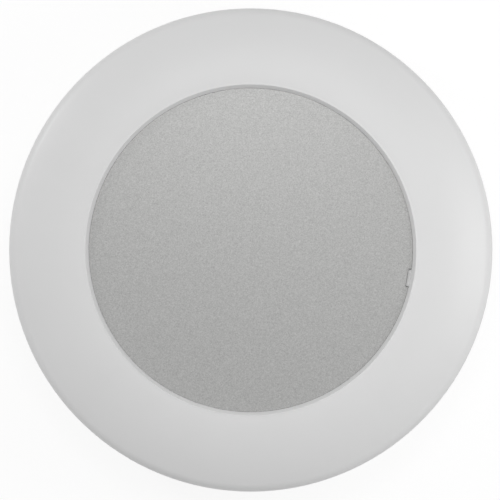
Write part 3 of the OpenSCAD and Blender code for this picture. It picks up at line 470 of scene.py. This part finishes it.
# Earth wire: green PVC with a yellow stripe on the side that faces out of the lamp
earthStripe = {"green": "#2f7a32", "yellow": "#d9c51f", "from": 0.55, "to": 0.62}
greenYellowPvc, tree = startMaterial("greenYellowPvc")[:2]
facing = addNode(tree, "ShaderNodeNewGeometry")
upward = addNode(tree, "ShaderNodeSeparateXYZ", links={0: facing.outputs["Normal"]})
stripe = addNode(
    tree, "ShaderNodeMapRange", {1: earthStripe["from"], 2: earthStripe["to"]}, {0: upward.outputs[2]}
)
tone = addNode(
    tree,
    "ShaderNodeMix",
    {"data_type": "RGBA", 6: earthStripe["green"], 7: earthStripe["yellow"]},
    {0: stripe.outputs[0]},
)
shader = addNode(
    tree,
    "ShaderNodeBsdfPrincipled",
    {"Roughness": insulation["roughness"], "IOR": insulation["ior"]},
    {"Base Color": tone.outputs[2]},
)
endMaterial(tree, shader)

# Metals: each has a bright and a dull tone, and a mottle of its own width and depth in millimetres
metal = {"mottleFrom": 0.3, "mottleTo": 0.7, "smoother": 0.06, "rougher": 0.08, "mottleStrength": 0.3}


def metalSkin(name, bright, dull, roughness, mottle, depth):
    material, tree, place = startMaterial(name)
    patches = addNode(
        tree, "ShaderNodeTexNoise", {"Scale": perMetre(mottle), "Detail": 3.0}, {"Vector": place}
    )
    tone = addNode(
        tree, "ShaderNodeMix", {"data_type": "RGBA", 6: bright, 7: dull}, {0: patches.outputs[0]}
    )
    gloss = addNode(
        tree,
        "ShaderNodeMapRange",
        {
            1: metal["mottleFrom"],
            2: metal["mottleTo"],
            3: roughness - metal["smoother"],
            4: roughness + metal["rougher"],
        },
        {0: patches.outputs[0]},
    )
    bump = addNode(
        tree,
        "ShaderNodeBump",
        {"Strength": metal["mottleStrength"], "Distance": depth / 1000},
        {"Height": patches.outputs[0]},
    )
    shader = addNode(
        tree,
        "ShaderNodeBsdfPrincipled",
        {"Metallic": 1.0},
        {"Base Color": tone.outputs[2], "Roughness": gloss.outputs[0], "Normal": bump.outputs[0]},
    )
    endMaterial(tree, shader)
    return material


# Turned brass of the inserts, yellow with a slight tarnish
turnedBrass = metalSkin("turnedBrass", "#d6b25e", "#b8923f", 0.3, 2.0, 0.02)
# Zinc-plated steel of the small screws, cool and faintly cloudy
zincSteel = metalSkin("zincSteel", "#c3c8cc", "#a9afb5", 0.32, 1.5, 0.02)
# Stainless steel of the captive screws
stainlessSteel = metalSkin("stainlessSteel", "#cbcac6", "#b5b4b0", 0.26, 1.2, 0.01)
# Tinned copper of the contact bars, the earth lug and the solder, soft and greyish
tinnedCopper = metalSkin("tinnedCopper", "#cfcac0", "#b7b0a4", 0.38, 1.0, 0.02)

# White powder coat on the steel gear tray: high reflectance with an orange peel about 1.5 mm wide
trayCoat = {
    "colour": "#f1f1ee",
    "shade": "#e9e9e6",
    "roughness": 0.3,
    "ior": 1.5,
    "peel": 1.5,
    "peelDepth": 0.00012,
    "peelStrength": 0.35,
}
powderCoat, tree, place = startMaterial("powderCoat")
peel = addNode(
    tree, "ShaderNodeTexNoise", {"Scale": perMetre(trayCoat["peel"]), "Detail": 2.0}, {"Vector": place}
)
bump = addNode(
    tree,
    "ShaderNodeBump",
    {"Strength": trayCoat["peelStrength"], "Distance": trayCoat["peelDepth"]},
    {"Height": peel.outputs[0]},
)
tone = addNode(
    tree,
    "ShaderNodeMix",
    {"data_type": "RGBA", 6: trayCoat["colour"], 7: trayCoat["shade"]},
    {0: peel.outputs[0]},
)
shader = addNode(
    tree,
    "ShaderNodeBsdfPrincipled",
    {"Roughness": trayCoat["roughness"], "IOR": trayCoat["ior"]},
    {"Base Color": tone.outputs[2], "Normal": bump.outputs[0]},
)
endMaterial(tree, shader)

# White solder mask on the LED boards: two copper tracks show as faint raised arcs along each board
ledMask = {
    "colour": "#f0f0ea",
    "overTrack": "#dfe0d6",
    "roughness": 0.28,
    "ior": 1.5,
    "radius": 0.125,
    "trackOffset": 0.0045,
    "trackHalf": 0.0006,
    "trackDepth": 0.00005,
    "trackStrength": 0.4,
}
whiteSolderMask, tree, place = startMaterial("whiteSolderMask")
flat = addNode(tree, "ShaderNodeVectorMath", {"operation": "MULTIPLY", 1: (1, 1, 0)}, {0: place})
reach = addNode(tree, "ShaderNodeVectorMath", {"operation": "LENGTH"}, {0: flat.outputs[0]})
fromMiddle = addNode(
    tree, "ShaderNodeMath", {"operation": "SUBTRACT", 1: ledMask["radius"]}, {0: reach.outputs["Value"]}
)
aside = addNode(tree, "ShaderNodeMath", {"operation": "ABSOLUTE"}, {0: fromMiddle.outputs[0]})
track = addNode(
    tree,
    "ShaderNodeMath",
    {"operation": "COMPARE", 1: ledMask["trackOffset"], 2: ledMask["trackHalf"]},
    {0: aside.outputs[0]},
)
tone = addNode(
    tree,
    "ShaderNodeMix",
    {"data_type": "RGBA", 6: ledMask["colour"], 7: ledMask["overTrack"]},
    {0: track.outputs[0]},
)
bump = addNode(
    tree,
    "ShaderNodeBump",
    {"Strength": ledMask["trackStrength"], "Distance": ledMask["trackDepth"]},
    {"Height": track.outputs[0]},
)
shader = addNode(
    tree,
    "ShaderNodeBsdfPrincipled",
    {"Roughness": ledMask["roughness"], "IOR": ledMask["ior"]},
    {"Base Color": tone.outputs[2], "Normal": bump.outputs[0]},
)
endMaterial(tree, shader)

# Green solder mask of the driver board, over a glass weave of about 1 mm
driverMask = {"colour": "#1d6a3a", "overGlass": "#226f40", "weave": 1.0, "roughness": 0.3, "ior": 1.5}
greenSolderMask, tree, place = startMaterial("greenSolderMask")
weave = addNode(tree, "ShaderNodeTexChecker", {"Scale": perMetre(driverMask["weave"])}, {"Vector": place})
tone = addNode(
    tree,
    "ShaderNodeMix",
    {"data_type": "RGBA", 6: driverMask["colour"], 7: driverMask["overGlass"]},
    {0: weave.outputs[1]},
)
shader = addNode(
    tree,
    "ShaderNodeBsdfPrincipled",
    {"Roughness": driverMask["roughness"], "IOR": driverMask["ior"]},
    {"Base Color": tone.outputs[2]},
)
endMaterial(tree, shader)

# Phosphor in clear silicone: a warm yellow, glossy, with fine powder in it
phosphor = {"light": "#e9cf62", "dark": "#dcb93f", "powder": 0.3, "roughness": 0.22, "ior": 1.42}
phosphorSilicone, tree, place = startMaterial("phosphorSilicone")
powder = addNode(
    tree, "ShaderNodeTexNoise", {"Scale": perMetre(phosphor["powder"]), "Detail": 2.0}, {"Vector": place}
)
tone = addNode(
    tree,
    "ShaderNodeMix",
    {"data_type": "RGBA", 6: phosphor["light"], 7: phosphor["dark"]},
    {0: powder.outputs[0]},
)
shader = addNode(
    tree,
    "ShaderNodeBsdfPrincipled",
    {"Roughness": phosphor["roughness"], "IOR": phosphor["ior"]},
    {"Base Color": tone.outputs[2]},
)
endMaterial(tree, shader)
print("materials made:", len(bpy.data.materials))

# What each CAD node is finished in
finishes = {
    "base_pan": whiteAbs,
    "back_gasket": foamRubber,
    "rim_gasket": rimSilicone,
    "cable_grommet": epdmRubber,
    "blanking_plug": epdmRubber,
    "threaded_inserts": turnedBrass,
    "gear_tray": powderCoat,
    "gear_tray_screws": zincSteel,
    "board_connectors": naturalPolyamide,
    "board_screws": zincSteel,
    "board_jumpers": whitePvc,
    "driver_case": driverPolycarbonate,
    "driver_lid": driverPolycarbonate,
    "driver_board": greenSolderMask,
    "driver_screws": zincSteel,
    "terminal_block": greyPolyamide,
    "terminal_contacts": tinnedCopper,
    "terminal_screws": zincSteel,
    "terminal_button_live": orangePolyamide,
    "terminal_button_neutral": orangePolyamide,
    "terminal_button_earth": orangePolyamide,
    "earth_screw": zincSteel,
    "earth_lug": tinnedCopper,
    "wire_live": brownPvc,
    "wire_neutral": bluePvc,
    "wire_earth": greenYellowPvc,
    "wire_led_plus": redPvc,
    "wire_led_minus": blackPvc,
    "diffuser": opalPolycarbonate,
    "sealing_washers": washerSilicone,
    "centre_cover": silverLacquer,
}
for number in (1, 2, 3, 4):
    finishes[f"led_board_{number}"] = whiteSolderMask
    finishes[f"led_chips_{number}"] = packageFrame
for number in (1, 2, 3):
    finishes[f"captive_screw_{number}"] = stainlessSteel
    finishes[f"retaining_clip_{number}"] = blackNylon

for name, node in nodes.items():
    node.data.materials.clear()
    node.data.materials.append(finishes[name])
print("CAD nodes finished:", len(finishes))


# A piece that stands for a CAD node rides on its body, and the node is hidden
def addPiece(name, form, materials, replaced):
    mesh = bpy.data.meshes.new(name)
    form.to_mesh(mesh)
    form.free()
    # The normals that a copy takes over from the CAD don't fit its new shape
    if "custom_normal" in mesh.attributes:
        mesh.attributes.remove(mesh.attributes["custom_normal"])
    for material in materials:
        mesh.materials.append(material)
    piece = bpy.data.objects.new(name, mesh)
    bpy.context.scene.collection.objects.link(piece)
    body, slot = bodyOf[replaced], slotOf[replaced]
    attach(piece, body)
    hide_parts(replaced)
    return piece


merging = {"distance": 2e-6, "thinnest": 1e-7}  # metres


# A copy of a CAD node with its triangles merged, shaded smooth where two faces meet at less than the angle
def mergedCopy(nodeName, sharpAngle):
    form = bmesh.new()
    form.from_mesh(nodes[nodeName].data)
    bmesh.ops.remove_doubles(form, verts=form.verts, dist=merging["distance"])
    bmesh.ops.dissolve_degenerate(form, edges=form.edges, dist=merging["thinnest"])
    for face in form.faces:
        face.smooth = True
        face.material_index = 0
    for edge in form.edges:
        edge.smooth = len(edge.link_faces) == 2 and edge.calc_face_angle(0) < math.radians(sharpAngle)
    return form


# Large flat faces keep an even tone up to a rounded edge
def evenShading(piece):
    weighted = piece.modifiers.new("evenShading", "WEIGHTED_NORMAL")
    weighted.keep_sharp = True


# Tightens a rounded edge that runs round the axis: its vertices are drawn towards the corner, which is given
# as a radius and a height
def tightenEdge(form, corner, reach, factor):
    for vert in form.verts:
        radius = vert.co.xy.length
        outward, upward = radius - corner[0], vert.co.z - corner[1]
        if abs(outward) < reach and abs(upward) < reach:
            scale = (corner[0] + outward * factor) / radius
            vert.co = (vert.co.x * scale, vert.co.y * scale, corner[1] + upward * factor)


# A closed solid from an outline that is spun round the axis, rising by the lift on the way
def spunSolid(form, corners, degrees, steps, lift=0.0):
    before = set(form.faces)
    outline = [form.verts.new(corner) for corner in corners]
    count = len(outline)
    sides = [form.edges.new((outline[i], outline[(i + 1) % count])) for i in range(count)]
    bmesh.ops.spin(
        form,
        geom=outline + sides,
        cent=(0, 0, 0),
        axis=(0, 0, 1),
        dvec=(0, 0, lift / steps),
        angle=math.radians(degrees),
        steps=steps,
    )
    walls = [face for face in form.faces if face not in before]
    openEnds = {edge for face in walls for edge in face.edges if edge.is_boundary}
    bmesh.ops.holes_fill(form, edges=list(openEnds), sides=count + 1)
    made = [face for face in form.faces if face not in before]
    bmesh.ops.recalc_face_normals(form, faces=made)
    return made


# Diffuser: a crisp lip, and a recess whose foot closes on the cover's rim but for a hairline
diffuser = {
    "sharpAngle": 20,
    "lipCorner": (0.10187, 0.06997),
    "lipReach": 0.0006,
    "lipTighter": 0.3,
    "footRadius": 0.1001,
    "closedRadius": 0.09992,
    "footReach": 0.0001,
    "footDepth": 0.0025,
}
form = mergedCopy("diffuser", diffuser["sharpAngle"])
footVerts = [
    vert
    for vert in form.verts
    if abs(vert.co.xy.length - diffuser["footRadius"]) < diffuser["footReach"]
    and coverTop - diffuser["footDepth"] < vert.co.z < coverTop + diffuser["footReach"]
]
closing = diffuser["closedRadius"] / diffuser["footRadius"]
bmesh.ops.scale(form, verts=footVerts, vec=(closing, closing, 1))
tightenEdge(form, diffuser["lipCorner"], diffuser["lipReach"], diffuser["lipTighter"])

# Opal ramp that fills the prise notch: its heights are given as drops from the cover's top
priseRamp = {
    "angle": -10,
    "halfTurn": 3.0,
    "innerRadius": 0.0979,
    "footDrop": 0.00202,
    "innerDrop": 0.001,
    "wallDrop": 0.0001,
    "steps": 8,
}
rampStart = Matrix.Rotation(math.radians(priseRamp["angle"] - priseRamp["halfTurn"]), 3, "Z")
rampOutline = [
    rampStart @ Vector(corner)
    for corner in (
        (priseRamp["innerRadius"], 0, coverTop - priseRamp["footDrop"]),
        (diffuser["footRadius"], 0, coverTop - priseRamp["footDrop"]),
        (diffuser["footRadius"], 0, coverTop - priseRamp["wallDrop"]),
        (priseRamp["innerRadius"], 0, coverTop - priseRamp["innerDrop"]),
    )
]
spunSolid(form, rampOutline, 2 * priseRamp["halfTurn"], priseRamp["steps"])
evenShading(addPiece("opalDiffuser", form, [opalPolycarbonate], "diffuser"))
print("diffuser made")

# Centre cover: its rim has the crisp edge of a moulding under lacquer, a tighter round than the CAD's
cover = {"sharpAngle": 30, "radius": 0.0999, "roundReach": 0.00051, "tighter": 0.5}
form = mergedCopy("centre_cover", cover["sharpAngle"])
tightenEdge(form, (cover["radius"], coverTop), cover["roundReach"], cover["tighter"])
evenShading(addPiece("silverCover", form, [silverLacquer], "centre_cover"))
print("centre cover made")

# Wires: the CAD's tubes along their own routes, with round walls
wires = {
    "mains": ("wire_live", "wire_neutral", "wire_earth"),
    "low": ("wire_led_plus", "wire_led_minus", "board_jumpers"),
    "sharpAngle": 80,
    "bendInQuad": 0.9,  # radians between two triangles that still make one side of the tube
    "skewInQuad": 3.1,
    "levels": 2,
}
for nodeName in wires["mains"] + wires["low"]:
    form = mergedCopy(nodeName, wires["sharpAngle"])
    bmesh.ops.join_triangles(
        form,
        faces=form.faces,
        angle_face_threshold=wires["bendInQuad"],
        angle_shape_threshold=wires["skewInQuad"],
    )
    wirePiece = addPiece(nodeName.title().replace("_", ""), form, [finishes[nodeName]], nodeName)
    roundWall = wirePiece.modifiers.new("roundWall", "SUBSURF")
    roundWall.levels = wires["levels"]
    roundWall.render_levels = wires["levels"]
print("wires made")

# Captive screws: waisted shank, so that the clip holds them, and a rolled thread on the lower half
captiveScrew = {
    "circle": 0.078,
    "angles": (30, 150, 270),
    "sharpAngle": 30,
    "headUnder": 0.0572,
    "shankRadius": 0.0025,
    "waistRadius": 0.0020,
    "margin": 1e-5,
    "pitch": 0.0008,
    "crest": 0.45,  # share of the pitch
    "ridge": 0.9,  # share of the pitch
    "rootDepth": 0.0002,
    "threadFoot": 0.0327,
    "turns": 15,
    "stepsPerTurn": 24,
}
for number, angle in enumerate(captiveScrew["angles"], 1):
    nodeName = f"captive_screw_{number}"
    spot = Vector((captiveScrew["circle"], 0, 0))
    spot.rotate(Matrix.Rotation(math.radians(angle), 3, "Z"))
    form = mergedCopy(nodeName, captiveScrew["sharpAngle"])
    bmesh.ops.translate(form, verts=form.verts, vec=-spot)
    shankVerts = [
        vert
        for vert in form.verts
        if vert.co.z < captiveScrew["headUnder"] + captiveScrew["margin"]
        and vert.co.xy.length < captiveScrew["shankRadius"] + captiveScrew["margin"]
    ]
    squeeze = captiveScrew["waistRadius"] / captiveScrew["shankRadius"]
    bmesh.ops.scale(form, verts=shankVerts, vec=(squeeze, squeeze, 1))
    rootRadius = captiveScrew["waistRadius"] - captiveScrew["rootDepth"]
    threadFoot = captiveScrew["threadFoot"]
    ridge = (
        (rootRadius, 0, threadFoot),
        (captiveScrew["shankRadius"], 0, threadFoot + captiveScrew["crest"] * captiveScrew["pitch"]),
        (rootRadius, 0, threadFoot + captiveScrew["ridge"] * captiveScrew["pitch"]),
    )
    turns = captiveScrew["turns"]
    steps = turns * captiveScrew["stepsPerTurn"]
    thread = spunSolid(form, ridge, 360 * turns, steps, turns * captiveScrew["pitch"])
    for face in thread:
        face.smooth = True
    bmesh.ops.translate(form, verts=form.verts, vec=spot)
    addPiece(f"captiveScrew{number}", form, [stainlessSteel], nodeName)
print("captive screws made")

# LED packages: a white moulded frame round a well of phosphor, with a solder fillet at each end.
# Each board covers a quarter of the circle.
ledPackage = {
    "circle": 0.125,
    "length": 0.0035,
    "width": 0.0028,
    "height": 0.0008,
    "frameWall": 0.00042,
    "wellDepth": 0.00012,
    "edge": 0.00006,
    "filletWidth": 0.0009,
    "filletLength": 0.00035,
    "filletHeight": 0.00025,
    "firstAngle": 8,
    "span": 74,
    "count": 12,
}
blockShape = Matrix.Diagonal((ledPackage["width"], ledPackage["length"], ledPackage["height"], 1))
filletShape = Matrix.Diagonal(
    (ledPackage["filletWidth"], ledPackage["filletLength"], ledPackage["filletHeight"], 1)
)
packageMaterials = [packageFrame, phosphorSilicone, tinnedCopper]
middle = (ledPackage["circle"], 0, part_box("led_board_1")[1][2] + ledPackage["height"] / 2)
for board in (1, 2, 3, 4):
    form = bmesh.new()
    for index in range(ledPackage["count"]):
        turn = 90 * (board - 1) + ledPackage["firstAngle"]
        turn += ledPackage["span"] * (index + 0.5) / ledPackage["count"]
        onBoard = Matrix.Rotation(math.radians(turn), 4, "Z") @ Matrix.Translation(middle)
        block = bmesh.ops.create_cube(form, size=1, matrix=onBoard @ blockShape)
        blockFaces = {face for vert in block["verts"] for face in vert.link_faces}
        blockEdges = list({edge for face in blockFaces for edge in face.edges})
        window = max(blockFaces, key=lambda face: face.calc_center_median().z)
        bmesh.ops.inset_individual(form, faces=[window], thickness=ledPackage["frameWall"])
        well = bmesh.ops.extrude_discrete_faces(form, faces=[window])["faces"][0]
        bmesh.ops.translate(form, verts=well.verts, vec=(0, 0, -ledPackage["wellDepth"]))
        well.material_index = packageMaterials.index(phosphorSilicone)
        bmesh.ops.bevel(
            form,
            geom=blockEdges,
            offset=ledPackage["edge"],
            affect="EDGES",
            segments=1,
            profile=0.5,
            material=-1,
        )
        for end in (-1, 1):
            atEnd = Matrix.Translation((0, end * ledPackage["length"] / 2, -ledPackage["height"] / 2))
            solder = bmesh.ops.create_icosphere(
                form, subdivisions=1, radius=1, matrix=onBoard @ atEnd @ filletShape
            )
            for face in {face for vert in solder["verts"] for face in vert.link_faces}:
                face.material_index = packageMaterials.index(tinnedCopper)
                face.smooth = True
    addPiece(f"ledPackages{board}", form, packageMaterials, f"led_chips_{board}")
print("LED packages made")
